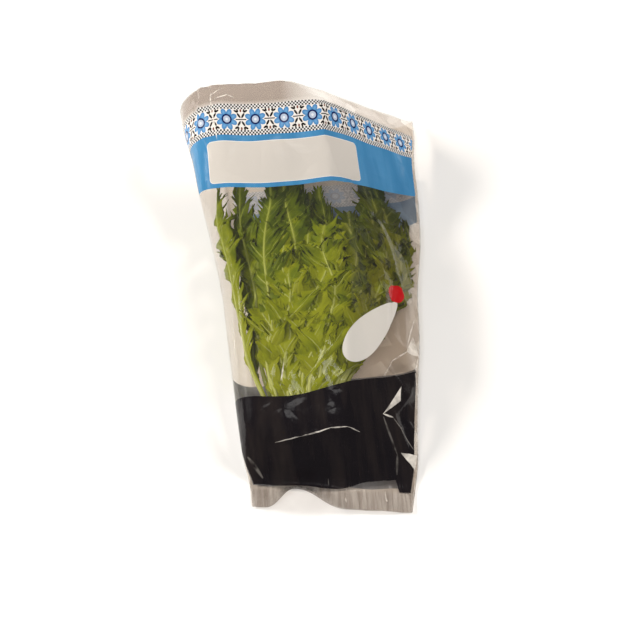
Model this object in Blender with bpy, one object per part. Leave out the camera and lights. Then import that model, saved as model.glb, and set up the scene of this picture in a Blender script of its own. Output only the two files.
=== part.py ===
"""A curly endive head lying in its clear film sleeve: mouth toward +Y, welded hem toward -Y."""

import math
import random

import bpy
import numpy as np

MM = 0.001

# The sleeve, in millimetres. A station is its distance from the hem edge, then the left fold (x, z),
# the left shoulder (x, z), the right end of the crown (x, z) and the right fold (x, z), and last how
# far the crown of the front panel hangs back behind the folds.
LENGTH = 388.0
WELD = 17.0
STATIONS = (
    (0, -59, 0.8, -42, 1.6, 20, 1.6, 58, 0.8, 0),
    (WELD, -60, 0.8, -44, 1.6, 20, 1.6, 62, 0.8, 0),
    (35, -63, 5, -47, 13, 14, 15, 66, 3, 2),
    (60, -65, 10, -46, 27, 14, 30, 69, 5, 6),
    (105, -68, 17, -46, 38, 18, 43, 75, 8, 12),
    (145, -71, 22, -50, 47, 22, 53, 81, 9, 15),
    (190, -74, 26, -52, 53, 26, 58, 85, 9, 15),
    (245, -82, 28, -58, 54, 28, 58, 94, 9, 15),
    (297, -91, 31, -60, 51, 22, 54, 98, 8, 15),
    (342, -98, 36, -62, 68, 18, 69, 100, 8, 15),
    (365, -103, 36, -62, 78, 15, 79, 103, 8, 15),
    (LENGTH, -106, 36, -62, 83, -12, 85, 104, 7, 15),
)
ROWS = (
    (0, 8, 14, WELD, 19, 22, 27, 34, 43, 54, 68, 84, 102, 122, 144, 168, 192)
    + (216, 240, 264, 288, 310, 330, 350, 370, LENGTH)
)
INNER_START = 19.0
COLUMNS = 20
FOLD_DENSITY = 0.09
FILM = 0.7
LEFT_ROUND = 0.9
RIGHT_LIFT = 2.5
SHOULDER_EASE = 0.16
HEM_SLANT = 16.0
HEM_SLANT_ENDS = (20.0, 90.0)
HEM_RIPPLE = 2.2

# The welded hem is bent up where it isn't pressed to the table. The bend starts at HEM_BEND_START
# from the hem edge and is HEM_BEND_RUN long. It turns most at the first x below, and fades out over
# the two widths to its left and right.
HEM_BEND_START = 22.0
HEM_BEND_RUN = 7.0
HEM_BEND = math.radians(58)
HEM_BEND_AT = (-26.0, 24.0, 42.0)

# The bunch of leaves: distance from the hem edge, then its left and right sides, in millimetres.
BUNCH = (
    (48, -30, -10),
    (66, -33, -7),
    (80, -40, 6),
    (97, -49, 19),
    (125, -60, 37),
    (155, -66, 54),
    (185, -74, 72),
    (215, -80, 82),
    (250, -87, 89),
    (300, -96, 95),
    (340, -102, 97),
)
CLEAR = 3.0
FILL_START = 60.0
FILL_RUN = 140.0

# The leaves. Each stands a golden angle further round the stump than the last. Their tips end at
# LEAF_TIP from the hem edge or before it: up to TIP_SPREAD by chance, RIGHT_DROP on the right side,
# HEART_DROP in the middle of the head and SHORT_DROP for every leaf that SHORT_EVERY counts.
LEAVES = 32
LOBES = 7
SHORT_EVERY = 4
GOLDEN_TURN = math.radians(137.508)
LEAF_BASE = 62.0
LEAF_TIP = 322.0
TIP_SPREAD = 30.0
RIGHT_DROP = 52.0
HEART_DROP = 28.0
SHORT_DROP = 120.0
HALF_WIDTH = 22.0
OUTER_WIDER = 8.0
WIDTH_SPREAD = 6.0
LEAF_THICK = 0.9
PETIOLE = 0.22
PETIOLE_HALF = 3.2
OUTER_REACH = 1.04
PRESSED = 0.13
FORWARD = 0.6
VALLEY = 0.34
WAVE = 0.12
LAST_LOBE = 0.97
TURN_JITTER = 0.15
SWAY = 0.3
TWIST = 0.5
LEAN = 0.5
SHORTEST_LOBE = 0.72
STUMP = (56.0, 60.0, 67.0, 77.0)
STUMP_SIDES = 20
SEED = 11


def station(table, s):
    """The row of a table at the distance s, on a smooth curve through the table's rows."""
    rows = np.array(table, float)
    places, values = rows[:, 0], rows[:, 1:]
    slopes = np.gradient(values, places, axis=0)
    s = min(max(s, places[0]), places[-1])
    k = min(int(np.searchsorted(places, s, side="right")) - 1, len(places) - 2)
    step = places[k + 1] - places[k]
    f = (s - places[k]) / step
    return (
        (2 * f**3 - 3 * f**2 + 1) * values[k]
        + (f**3 - 2 * f**2 + f) * step * slopes[k]
        + (3 * f**2 - 2 * f**3) * values[k + 1]
        + (f**3 - f**2) * step * slopes[k + 1]
    )


def front_height(x, row, inset=0.0):
    """The height of the front panel at x: a round left shoulder, a crown and a straight right slope."""
    lx, lz, sx, sz, cx, cz, rx, rz = row[:8]
    lx, rx, sz, cz = lx + inset, rx - 3 * inset, sz - inset, cz - inset
    if x <= sx:
        f = max(0.0, (x - lx) / (sx - lx))
        return lz + (sz - lz) * math.sqrt(max(0.0, 1 - (1 - f) ** 2))
    if x <= cx:
        f = (x - sx) / (cx - sx)
        return sz + (cz - sz) * f * f * (3 - 2 * f)
    f = min(1.0, (x - cx) / (rx - cx))
    k = SHOULDER_EASE
    g = (math.sqrt(k * k + (1 - 2 * k) * f) - k) / (1 - 2 * k)
    return cz + (rz - cz) * g * g


def back_height(x, row, inset=0.0):
    """The height of the back panel at x: flat on the table, rising to the fold at each side."""
    lx, lz, rx, rz = row[0] + inset, row[1], row[6] - 3 * inset, row[7]
    left_end = row[0] + LEFT_ROUND * lz + inset
    right_end = row[6] - RIGHT_LIFT * rz - 4 * inset
    if x < left_end:
        f = max(0.0, (x - lx) / (left_end - lx))
        return lz - (lz - inset) * math.sqrt(max(0.0, 1 - (1 - f) ** 2))
    if x > right_end:
        f = min(1.0, (x - right_end) / (rx - right_end))
        return inset + (rz - inset) * f * f
    return inset


def panel(height, row, inset):
    """The panel's section as COLUMNS lengths of film from fold to fold, shorter near the folds."""
    lx, rx = row[0] + inset, row[6] - 3 * inset
    x = lx + (rx - lx) * (1 - np.cos(np.linspace(0, math.pi, 241))) / 2
    z = np.array([height(value, row, inset) for value in x])
    z[0], z[-1] = row[1], row[7]
    run = np.concatenate([[0], np.cumsum(np.hypot(np.diff(x), np.diff(z)))])
    share = np.linspace(0, 1, COLUMNS + 1)
    share = share - FOLD_DENSITY * np.sin(2 * math.pi * share)
    return np.interp(share * run[-1], run, x), np.interp(share * run[-1], run, z)


def hang(x, row):
    """How far the front panel lies behind its folds at x."""
    f = min(max((x - row[0]) / (row[6] - row[0]), 0.0), 1.0)
    return row[8] * (4 * f * (1 - f)) ** 0.75


def hem_slant(x, s, row):
    """The hem's left end lies further up the sleeve than its right end."""
    side = (row[6] - x) / (row[6] - row[0])
    start, end = HEM_SLANT_ENDS
    f = min(max((end - s) / (end - start), 0.0), 1.0)
    return HEM_SLANT * side * f * f * (3 - 2 * f)


def hem_point(x, y, z, s):
    """A point near the hem, moved with the bent and rippled hem that stands up from the table."""
    past = HEM_BEND_START - s
    if past <= 0:
        return x, y, z
    middle, left, right = HEM_BEND_AT
    away = min(1.0, abs(x - middle) / (left if x < middle else right))
    turn = max(0.02, HEM_BEND * math.cos(away * math.pi / 2) ** 2)
    angle = turn * min(1.0, past / HEM_BEND_RUN)
    straight = max(0.0, past - HEM_BEND_RUN)
    along = HEM_BEND_RUN / turn * math.sin(angle) + straight * math.cos(turn)
    up = HEM_BEND_RUN / turn * (1 - math.cos(angle)) + straight * math.sin(turn)
    up += HEM_RIPPLE * (past / HEM_BEND_START) ** 2 * (0.5 - 0.5 * math.cos(x / 5.5) * math.cos(x / 17.0))
    return x, y + past - along + z * math.sin(angle), up + z * math.cos(angle)


def ring(s, inset):
    """The sleeve's section at s as points, the front from left to right and the back to the left."""
    row = station(STATIONS, s)
    front_x, front_z = panel(front_height, row, inset)
    back_x, back_z = panel(back_height, row, inset)
    points = []
    for x, z in zip(front_x, front_z):
        y = s - hang(x, row) + hem_slant(x, s, row)
        points.append(hem_point(x, y, z, s))
    for x, z in zip(back_x[-2:0:-1], back_z[-2:0:-1]):
        y = s + hem_slant(x, s, row)
        points.append(hem_point(x, y, z, s))
    return points


def bridge(faces, first, second, count, flip):
    """Quads between two rings of points that start at first and second."""
    for k in range(count):
        n = (k + 1) % count
        quad = (first + k, first + n, second + n, second + k)
        faces.append(quad[::-1] if flip else quad)


def close_flat(faces, first, flip):
    """Quads from the front panel to the back panel across one ring."""
    count = 2 * COLUMNS
    for k in range(COLUMNS):
        a, b = first + k, first + k + 1
        c, d = first + (count - k - 1) % count, first + (count - k) % count
        quad = [a, b, c, d]
        quad = [p for n, p in enumerate(quad) if p not in quad[:n]]
        faces.append(tuple(quad[::-1] if flip else quad))


def film_sleeve():
    """The outer skin, the inner skin, the open lip that joins them and the closed hem."""
    count = 2 * COLUMNS
    inner_rows = [INNER_START] + [s for s in ROWS if s > INNER_START]
    points, faces = [], []
    for s in ROWS:
        points += ring(s, 0.0)
    for s in inner_rows:
        points += ring(s, FILM)
    inner = len(ROWS) * count
    for k in range(len(ROWS) - 1):
        bridge(faces, k * count, (k + 1) * count, count, False)
    for k in range(len(inner_rows) - 1):
        bridge(faces, inner + k * count, inner + (k + 1) * count, count, True)
    last_outer = (len(ROWS) - 1) * count
    last_inner = inner + (len(inner_rows) - 1) * count
    bridge(faces, last_outer, last_inner, count, False)
    close_flat(faces, 0, True)
    close_flat(faces, inner, False)
    return points, faces


def bunch_point(a, b, y):
    """A point (a, b) of the bunch's unit disc, pressed into the room inside the sleeve at y."""
    radius = math.hypot(a, b)
    limit = 1 / (1 + radius**12) ** (1 / 12)
    a, b = a * limit, b * limit
    left, right = station(BUNCH, y)
    x = (left + right) / 2 + a * (right - left) / 2
    row = station(STATIONS, y)
    row = station(STATIONS, y + hang(x, row))
    top = front_height(x, row) - CLEAR
    under = back_height(x, row) + CLEAR
    fill = min(max((y - FILL_START) / FILL_RUN, 0.0), 1.0)
    rise = b / max(1e-3, 1 - a * a) ** (0.5 * fill)
    return np.array([x, y, (top + under) / 2 + rise * (top - under) / 2])


class Leaf:
    """One leaf: where it stands in the bunch, how long and wide it is, and how it waves."""

    def __init__(self, index, draw):
        self.turn = index * GOLDEN_TURN + draw.uniform(-TURN_JITTER, TURN_JITTER)
        self.reach = OUTER_REACH * math.sqrt((index + 0.6) / LEAVES)
        across = self.reach * math.cos(self.turn)
        right = min(max((across - 0.15) / 0.35, 0.0), 1.0)
        heart = max(0.0, 1 - self.reach / 0.5)
        drop = TIP_SPREAD * draw.random() + RIGHT_DROP * right + HEART_DROP * heart
        drop += SHORT_DROP * (index % SHORT_EVERY == SHORT_EVERY - 1)
        self.length = LEAF_TIP - drop - LEAF_BASE
        self.half = HALF_WIDTH + OUTER_WIDER * self.reach + WIDTH_SPREAD * draw.random()
        self.phase = draw.uniform(0, 2 * math.pi)
        self.sway = draw.uniform(-SWAY, SWAY)
        self.twist = draw.uniform(-TWIST, TWIST)
        self.lobes = [draw.uniform(SHORTEST_LOBE, 1.0) for _ in range(2 * LOBES)]
        self.lean = random.Random(1000 * SEED + index).uniform(-LEAN, LEAN)

    def envelope(self, u):
        """Half the blade's width over its lobes' tips, at u from its first lobe to its tip."""
        return self.half * (0.25 + 0.75 * math.sin(math.pi * min(max(u, 0.0), 1.0) ** 1.2))

    def at(self, t, q):
        """The point of the blade at t along the rib and q millimetres beside it."""
        y = LEAF_BASE + t * self.length
        left, right = station(BUNCH, y)
        width = (right - left) / 2
        turn = self.turn + self.sway * math.sin(2.4 * t) + self.lean * max(0.0, t) ** 1.6
        flat = width * (math.sin(turn) ** 2 + 0.55 * math.cos(turn) ** 2)
        turn += q * math.cos(self.twist) / flat / max(self.reach, 0.45)
        u = (t - PETIOLE) / (1 - PETIOLE)
        wave = math.sin(math.pi * LOBES * u + self.phase + (0.5 * math.pi if q > 0 else 0))
        crinkle = WAVE * wave * min(1.0, abs(q) / self.half) ** 1.5
        room = self.reach * (1 - PRESSED * min(max(2 * t, 0.0), 1.0))
        radius = room * (1 - 0.12 * max(0.0, t - 0.8) / 0.2) + crinkle
        radius = max(0.03, radius + math.sin(self.twist) * q / width * 0.9)
        return bunch_point(radius * math.cos(turn), radius * math.sin(turn), y)

    def normal(self, t, q):
        step_t, step_q = 0.004, 0.4
        along = self.at(t + step_t, q) - self.at(t - step_t, q)
        side = self.at(t, q + step_q) - self.at(t, q - step_q)
        n = np.cross(side, along)
        return n / np.linalg.norm(n)


def leaf_mesh(leaf):
    """The blade's two faces, split alike, and the edge between them."""
    rib = [0.0, PETIOLE / 2]
    edge = [(0.0, PETIOLE_HALF, False), (PETIOLE / 2, PETIOLE_HALF, False)]
    for k in range(LOBES + 1):
        u = LAST_LOBE * k / LOBES
        rib.append(PETIOLE + (1 - PETIOLE) * u)
        valley = max(2.0, VALLEY * leaf.envelope(u)) * (1 - 0.5 * (k == LOBES))
        edge.append((rib[-1], valley, False))
        if k < LOBES:
            tip = LAST_LOBE * (u + 0.95 / LOBES)
            edge.append((PETIOLE + (1 - PETIOLE) * tip, leaf.envelope(tip), True))
    rib.append(1.0)
    places = [(t, 0.0) for t in rib]
    sides = []
    for sign in (1, -1):
        row = []
        for n, (t, q, is_tip) in enumerate(edge):
            row.append((len(places), is_tip))
            share = leaf.lobes[n // 2 - 1 + (LOBES if sign > 0 else 0)] if is_tip else 1.0
            ahead = FORWARD * q * share / leaf.length if t >= PETIOLE else 0.0
            places.append((t + ahead, sign * q * share))
        sides.append(row)
    triangles = []
    for sign, row in zip((1, -1), sides):
        found = []
        inner = [n for n, is_tip in row if not is_tip]
        for k in range(len(inner) - 1):
            found += [(k, inner[k], inner[k + 1]), (k, inner[k + 1], k + 1)]
        found.append((len(rib) - 2, inner[-1], len(rib) - 1))
        for k in range(1, len(row) - 1):
            if row[k][1]:
                found.append((row[k - 1][0], row[k][0], row[k + 1][0]))
        triangles += found if sign > 0 else [face[::-1] for face in found]
    loop = [0] + [n for n, _ in sides[0]] + [len(rib) - 1] + [n for n, _ in reversed(sides[1])]
    middle = [leaf.at(t, q) for t, q in places]
    normals = [leaf.normal(t, q) for t, q in places]
    half = LEAF_THICK / 2
    points = [m + half * n for m, n in zip(middle, normals)]
    points += [m - half * n for m, n in zip(middle, normals)]
    count = len(places)
    faces = list(triangles)
    faces += [tuple(count + n for n in face[::-1]) for face in triangles]
    for k, a in enumerate(loop):
        b = loop[(k + 1) % len(loop)]
        faces.append((a, a + count, b + count))
        faces.append((a, b + count, b))
    return points, faces


def stump_mesh():
    """The short pale stump that every leaf grows from, a stack of rings with two end faces."""
    points, faces = [], []
    for k, y in enumerate(STUMP):
        size = 0.86 if k in (0, len(STUMP) - 1) else 1.0
        for n in range(STUMP_SIDES):
            turn = 2 * math.pi * n / STUMP_SIDES
            points.append(bunch_point(size * math.cos(turn), size * math.sin(turn), y))
    for k in range(len(STUMP) - 1):
        bridge(faces, k * STUMP_SIDES, (k + 1) * STUMP_SIDES, STUMP_SIDES, True)
    faces.append(tuple(range(STUMP_SIDES)))
    last = (len(STUMP) - 1) * STUMP_SIDES
    faces.append(tuple(last + n for n in reversed(range(STUMP_SIDES))))
    return points, faces


def mesh_object(name, points, faces, collection):
    """A named object whose points are given in millimetres from the hem, set round the middle."""
    mesh = bpy.data.meshes.new(name)
    moved = [(x * MM, (y - LENGTH / 2) * MM, z * MM) for x, y, z in points]
    mesh.from_pydata(moved, [], faces)
    mesh.update()
    thing = bpy.data.objects.new(name, mesh)
    collection.objects.link(thing)
    return thing


def principled(name, colour, roughness, alpha=1.0):
    material = bpy.data.materials.new(name)
    material.use_nodes = True
    shader = material.node_tree.nodes["Principled BSDF"]
    shader.inputs["Base Color"].default_value = (*colour, 1)
    shader.inputs["Roughness"].default_value = roughness
    shader.inputs["Metallic"].default_value = 0.0
    shader.inputs["Alpha"].default_value = alpha
    return material


def main():
    for thing in list(bpy.data.objects):
        bpy.data.objects.remove(thing, do_unlink=True)
    scene = bpy.context.scene.collection

    draw = random.Random(SEED)
    leaves = bpy.data.collections.new("leaves")
    scene.children.link(leaves)
    for index in range(LEAVES):
        mesh_object(f"leaf_{index}", *leaf_mesh(Leaf(index, draw)), leaves)
    head = mesh_object("endive_head", *stump_mesh(), scene)
    union = head.modifiers.new("leaves", "BOOLEAN")
    union.operation = "UNION"
    union.operand_type = "COLLECTION"
    union.collection = leaves
    union.solver = "MANIFOLD"
    bpy.context.view_layer.update()
    graph = bpy.context.evaluated_depsgraph_get()
    fused = bpy.data.meshes.new_from_object(head.evaluated_get(graph))
    head.modifiers.clear()
    head.data = fused
    for thing in list(leaves.objects):
        bpy.data.objects.remove(thing, do_unlink=True)
    bpy.data.collections.remove(leaves)
    fused.materials.clear()
    fused.materials.append(principled("leaf_green", (0.17, 0.27, 0.03), 0.5))

    sleeve = mesh_object("film_sleeve", *film_sleeve(), scene)
    sleeve.data.materials.append(principled("clear_film", (0.75, 0.72, 0.68), 0.15, 0.35))


main()
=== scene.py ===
"""The looks of a curly endive head in its clear printed film sleeve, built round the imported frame."""

import math
import random
from functools import partial

import bpy
import numpy as np
from mathutils import Matrix, Vector


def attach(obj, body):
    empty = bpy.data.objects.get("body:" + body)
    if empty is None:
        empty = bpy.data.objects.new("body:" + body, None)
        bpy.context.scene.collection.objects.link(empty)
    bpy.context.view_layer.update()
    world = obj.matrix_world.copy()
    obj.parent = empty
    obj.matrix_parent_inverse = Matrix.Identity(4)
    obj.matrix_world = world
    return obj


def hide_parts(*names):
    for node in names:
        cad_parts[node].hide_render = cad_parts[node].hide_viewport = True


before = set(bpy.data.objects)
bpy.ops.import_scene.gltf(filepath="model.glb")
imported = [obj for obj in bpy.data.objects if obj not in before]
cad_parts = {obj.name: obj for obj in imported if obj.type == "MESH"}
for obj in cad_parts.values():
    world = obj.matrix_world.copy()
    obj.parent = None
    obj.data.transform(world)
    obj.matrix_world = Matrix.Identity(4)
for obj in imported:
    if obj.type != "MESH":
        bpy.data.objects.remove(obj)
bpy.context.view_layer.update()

MM = 0.001

# The sleeve, in millimetres. A station is its distance from the hem edge, then the left fold (x, z),
# the left shoulder (x, z), the right end of the crown (x, z) and the right fold (x, z), and last how
# far the crown of the front panel hangs back behind the folds.
LENGTH = 388.0
WELD = 17.0
STATIONS = (
    (0, -59, 0.8, -42, 1.6, 20, 1.6, 58, 0.8, 0),
    (WELD, -60, 0.8, -44, 1.6, 20, 1.6, 62, 0.8, 0),
    (35, -63, 5, -47, 13, 14, 15, 66, 3, 2),
    (60, -65, 10, -46, 27, 14, 30, 69, 5, 6),
    (105, -68, 17, -46, 38, 18, 43, 75, 8, 12),
    (145, -71, 22, -50, 47, 22, 53, 81, 9, 15),
    (190, -74, 26, -52, 53, 26, 58, 85, 9, 15),
    (245, -82, 28, -58, 54, 28, 58, 94, 9, 15),
    (297, -91, 31, -60, 51, 22, 54, 98, 8, 15),
    (342, -98, 36, -62, 68, 18, 69, 100, 8, 15),
    (365, -103, 36, -62, 78, 15, 79, 103, 8, 15),
    (LENGTH, -106, 36, -62, 83, -12, 85, 104, 7, 15),
)
# The folds at the sides: how far the back panel takes to rise to them, as a multiple of their height,
# and how softly the crown turns into the right slope.
LEFT_ROUND = 0.9
RIGHT_LIFT = 2.5
SHOULDER_EASE = 0.16
# The hem: how far its left end lies up the sleeve and over what stretch this fades, the height of its
# ripples, and the bend in which it stands up, with the bend's middle and its reach left and right.
HEM_SLANT = 16.0
HEM_SLANT_ENDS = (20.0, 90.0)
HEM_RIPPLE = 2.2
HEM_BEND_START = 22.0
HEM_BEND_RUN = 7.0
HEM_BEND = math.radians(58)
HEM_BEND_AT = (-26.0, 24.0, 42.0)
# The film's thickness, and how far from the weld and from a fold each panel is fully loose.
FILM = 0.12
LOOSE_BY = (25.0, 9.0)
BACK_LOOSE_BY = (20.0, 12.0)

# The bunch of leaves: distance from the hem edge, then its left and right sides, in millimetres.
BUNCH = (
    (48, -30, -10),
    (66, -33, -7),
    (80, -40, 6),
    (97, -49, 19),
    (125, -60, 37),
    (155, -66, 54),
    (185, -74, 76),
    (215, -80, 87),
    (250, -87, 95),
    (300, -96, 99),
    (340, -102, 100),
)
# The room between the bunch and the film.
CLEAR = 3.0

# The leaves stand in a spiral from the heart outward, every fourth one short. The shoots are short
# curly leaves among them, some at the right side and three of them tall.
LEAVES = 32
SHOOTS = 34
GOLDEN_TURN = math.radians(137.508)
OUTER_REACH = 1.04
SHORT_EVERY = 4
RIGHT_SHOOTS = (4, 11, 18, 24, 31)
TALL_SHOOTS = (7, 16, 28)
LEAF_SEED = 11
# Where the leaves start and where the longest end, how much less the others reach, half a blade's width
# with what it gains outward and at random, the share of a leaf that is stalk, the stalk's half width and
# the blade's thickness.
LEAF_BASE = 62.0
LEAF_TIP = 322.0
TIP_SPREAD = 30.0
RIGHT_LESS = 52.0
HEART_LESS = 28.0
SHORT_LESS = 120.0
HALF_WIDTH = (22.0, 8.0, 6.0)
PETIOLE = 0.22
PETIOLE_HALF = 3.2
BLADE = 0.35
# A long blade's large lobes on a side, the small lobes on each and the teeth on each of these, a tooth's
# height, where a lobe's tip lies in it and where the lobes end. A shorter leaf has a lobe each 30 mm.
LONG_LEAF = 150.0
LOBES = 7
SMALL_LOBES = 3
TEETH = 3
TOOTH = 3.4
LOBE_TURN = 0.72
LOBED_PART = 0.97
LOBE_SPACE = 30.0
# A blade's section is longer than the leaf is wide, which makes its waves, of three lengths. Its lobes
# lean toward the tip.
FULLNESS = 1.25
WAVES = (31.0, 13.0, 5.6)
FORWARD = 0.75
# How much the sleeve presses the bunch together, and how softly the front panel holds it down.
PRESSED = 0.2
PRESSED_LEFT = 0.14
PRESSED_RIGHT = 0.03
FILM_PRESS = 2.5
# The ribs' radii at root and tip, how far up the leaf the main ones reach and in how many steps, the
# longest leaf's length, and how wide and how long the pale blush along the ribs is.
RIB = 2.1
RIB_TIP = 0.6
RIB_END = 0.96
RIB_STEPS = 30
SIDE_RIB = 0.8
SIDE_RIB_TIP = 0.2
LONGEST = 260.0
RIB_BLUSH = 2.6
RIB_FADE = 230.0
# How far along a leaf its green deepens.
LEAF_DEEPENS = 560.0

# The stump: each ring's distance from the hem edge, and its size as a share of the bunch.
STUMP = (
    (56.0, 0.55),
    (56.6, 0.84),
    (58.0, 0.95),
    (61.0, 1.0),
    (65.0, 1.02),
    (70.0, 1.0),
    (75.0, 0.98),
    (79.0, 0.8),
)
STUMP_SIDES = 48

# The printed film: its own coordinates in millimetres, u across from the middle of the crown (or of
# the back panel) and v up from the hem edge. The UV map holds both panels side by side, each with its
# own shift, at this many millimetres for its whole width. The back panel's part has its start, and the
# faces that close the weld lie left of both.
MAP = 600.0
CROWN_MIDDLE = -20.0
FRONT_SHIFT = 130.0
BACK_SHIFT = 440.0
BACK_FROM = 327.0
WELD_MAP = 0.01
# Little pleats take up this share of the film past this place, on the right slope.
GATHER = 0.3
GATHER_START = 38.0

# The print. The back panel's own print lies lower by its drop. The badge and the dot each have a centre,
# half axes, a turn and, for the egg-shaped badge, a taper. The film along the side folds is bare.
BACK_DROP = 43.5
ORNAMENT = (341.5, 367.5)
BLUE_LOW = 296.3
BACK_BLUE_CUT = 15.0
LABEL = (-60.0, 80.0, 301.0, 336.0)
LABEL_CORNER = 3.5
LABEL_RIM = 0.5
BADGE = ((77.2, 150.9), (46.5, 13.5), 0.64, 0.45)
DOT_OVAL = ((114.4, 187.0), (11.0, 8.2), 0.0)
BARE_EDGE = 3.2
BACK_PRINT_END = -58.0

# The black band: its upper edge rises from a place across, its lower edge waves, sags and then lifts.
# Each of the last two has where it starts, where it is full, and how far it goes.
BAND_TOP = 95.8
BAND_RISE_FROM = 5.0
BAND_RISE = 0.16
BACK_BAND_HIGHER = 23.7
BAND_LOW = 18.5
BAND_WAVE = (6.0, 0.7)
BAND_SAG = (-40.0, 8.0, -3.5)
BAND_LIFT = (14.0, 66.0, 9.5)
BAND_LIFT_END = (80.0, 78.0)

# The flower border: flowers and their petals, then the twig between two flowers, each oval of it with
# its centre from the middle between them, its half axes and its turn.
FLOWER_PITCH = 24.4
FLOWER_SHIFT = 29.1
FLOWER_RING = (2.9, 4.3)
FLOWER_EYE = 3.2
FLOWER_PIP = 1.1
PETALS = 8
PETAL_AT = 6.0
PETAL_SIZE = (3.2, 2.2)
STEM = (0.45, 4.5)
TWIG_LEAVES = (
    ((1.8, 3.3), (2.4, 0.9), 1.0),
    ((4.1, 6.8), (1.9, 0.85), 0.5),
    ((2.7, 7.6), (1.5, 0.7), 1.2),
)
BUD = ((0.0, 7.4), (0.8, 1.3), 0.0)
CHECK = 1.45
CHECK_SHIFT = 1.2
CHECK_ROWS = 3

# How wide and how long the streaks of painted shade and sheen in the hanging film's ink and the hem's
# pleats are.
INK_SHADE_STREAKS = (17.0, 110.0)
PLEAT = (3.6, 40.0)
# Where each look of the clear film starts and where it is full, across (u) or up (v): the painted shade
# on the right, the painted reflections of the facets further right, the painted shade of the lip, the
# hem's tint, the hem's pleats and the paler side folds.
RIGHT_U = (40.0, 75.0)
FAR_RIGHT_U = (60.0, 90.0)
LIP_U = (44.0, 6.0)
LIP_V = (362.0, 371.0)
HEM_V = (24.0, 14.0)
PLEATS_U = (-20.0, 0.0)
PLEATS_V = (24.0, 12.0)
SIDE_FOLD_PALE = (1.1, 0.4)
# The share that the film mirrors seen straight on, and what it gains toward a grazing view.
STRAIGHT_MIRROR = 0.045
GRAZING_MIRROR = 0.9

FLOOR_HALF = 3.0

# How finely the film, the leaves and the shoots are divided.
ROWS = 195
FRONT_COLUMNS = 120
BACK_COLUMNS = 90
BLADE_ROWS = 216
SHOOT_ROWS = 150
BLADE_COLUMNS = 15
SHOOT_COLUMNS = 13


def linear(code):
    """An sRGB hex colour as a linear RGBA tuple."""
    parts = [int(code[n:n + 2], 16) / 255 for n in (1, 3, 5)]
    parts = [c / 12.92 if c <= 0.04045 else ((c + 0.055) / 1.055) ** 2.4 for c in parts]
    return (*parts, 1.0)


# The sleeve's form

def station(table, s):
    """The rows of a table at the distances s, on smooth curves through the table's rows."""
    rows = np.array(table, float)
    places, values = rows[:, 0], rows[:, 1:]
    slopes = np.gradient(values, places, axis=0)
    s = np.clip(np.asarray(s, float), places[0], places[-1])
    k = np.clip(np.searchsorted(places, s, side="right") - 1, 0, len(places) - 2)
    step = (places[k + 1] - places[k])[..., None]
    f = (s - places[k])[..., None] / step
    return (
        (2 * f**3 - 3 * f**2 + 1) * values[k]
        + (f**3 - 2 * f**2 + f) * step * slopes[k]
        + (3 * f**2 - 2 * f**3) * values[k + 1]
        + (f**3 - f**2) * step * slopes[k + 1]
    )


def front_height(x, row):
    """The height of the front panel at x: a round left shoulder, a crown and a straight right slope."""
    lx, lz, sx, sz, cx, cz, rx, rz = np.moveaxis(row, -1, 0)[:8]
    f = np.clip((x - lx) / (sx - lx), 0, 1)
    shoulder = lz + (sz - lz) * np.sqrt(1 - (1 - f) ** 2)
    f = np.clip((x - sx) / (cx - sx), 0, 1)
    crown = sz + (cz - sz) * f * f * (3 - 2 * f)
    f = np.clip((x - cx) / (rx - cx), 0, 1)
    k = SHOULDER_EASE
    g = (np.sqrt(k * k + (1 - 2 * k) * f) - k) / (1 - 2 * k)
    slope = cz + (rz - cz) * g * g
    return np.where(x <= sx, shoulder, np.where(x <= cx, crown, slope))


def back_height(x, row):
    """The height of the back panel at x: flat on the table, rising to the fold at each side."""
    lx, lz, rx, rz = row[..., 0], row[..., 1], row[..., 6], row[..., 7]
    f = np.clip((x - lx) / (LEFT_ROUND * lz), 0, 1)
    left = lz - lz * np.sqrt(1 - (1 - f) ** 2)
    f = np.clip((x - rx + RIGHT_LIFT * rz) / (RIGHT_LIFT * rz), 0, 1)
    return left + rz * f * f


def hang(x, row):
    """How far the front panel lies behind its folds at x."""
    f = np.clip((x - row[..., 0]) / (row[..., 6] - row[..., 0]), 0, 1)
    return row[..., 8] * (4 * f * (1 - f)) ** 0.75


def hem_slant(x, s, row):
    """The hem's left end lies further up the sleeve than its right end."""
    side = (row[6] - x) / (row[6] - row[0])
    start, end = HEM_SLANT_ENDS
    f = min(max((end - s) / (end - start), 0.0), 1.0)
    return HEM_SLANT * side * f * f * (3 - 2 * f)


def hem_points(x, y, z, s):
    """Points near the hem, moved with the bent and rippled hem that stands up from the table."""
    past = HEM_BEND_START - s
    if past <= 0:
        return np.stack([x, y, z], 1)
    middle, left, right = HEM_BEND_AT
    away = np.minimum(1.0, np.abs(x - middle) / np.where(x < middle, left, right))
    turn = np.maximum(0.02, HEM_BEND * np.cos(away * math.pi / 2) ** 2)
    angle = turn * min(1.0, past / HEM_BEND_RUN)
    straight = max(0.0, past - HEM_BEND_RUN)
    along = HEM_BEND_RUN / turn * np.sin(angle) + straight * np.cos(turn)
    up = HEM_BEND_RUN / turn * (1 - np.cos(angle)) + straight * np.sin(turn)
    ripple = 0.5 - 0.5 * np.cos(x / 5.5) * np.cos(x / 17.0)
    up = up + HEM_RIPPLE * (past / HEM_BEND_START) ** 2 * ripple
    return np.stack([x, y + past - along + z * np.sin(angle), up + z * np.cos(angle)], 1)


def panel(height, row, columns):
    """A panel's section at equal lengths of film: x, z and the film's own distance from the left fold,
    then that distance at the crown's middle and at the right fold."""
    x = row[0] + (row[6] - row[0]) * (1 - np.cos(np.linspace(0, math.pi, 401))) / 2
    z = height(x, np.broadcast_to(row, (len(x), len(row))))
    z[0], z[-1] = row[1], row[7]
    run = np.concatenate([[0], np.cumsum(np.hypot(np.diff(x), np.diff(z)))])
    even = np.linspace(0, run[-1], columns + 1)
    return np.interp(even, run, x), np.interp(even, run, z), even, np.interp(CROWN_MIDDLE, x, run), run[-1]


def gathered(u):
    """Film distance with the little pleats on the right slope let out, which the print needs."""
    return u + GATHER * np.maximum(0.0, u - GATHER_START)


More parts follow.
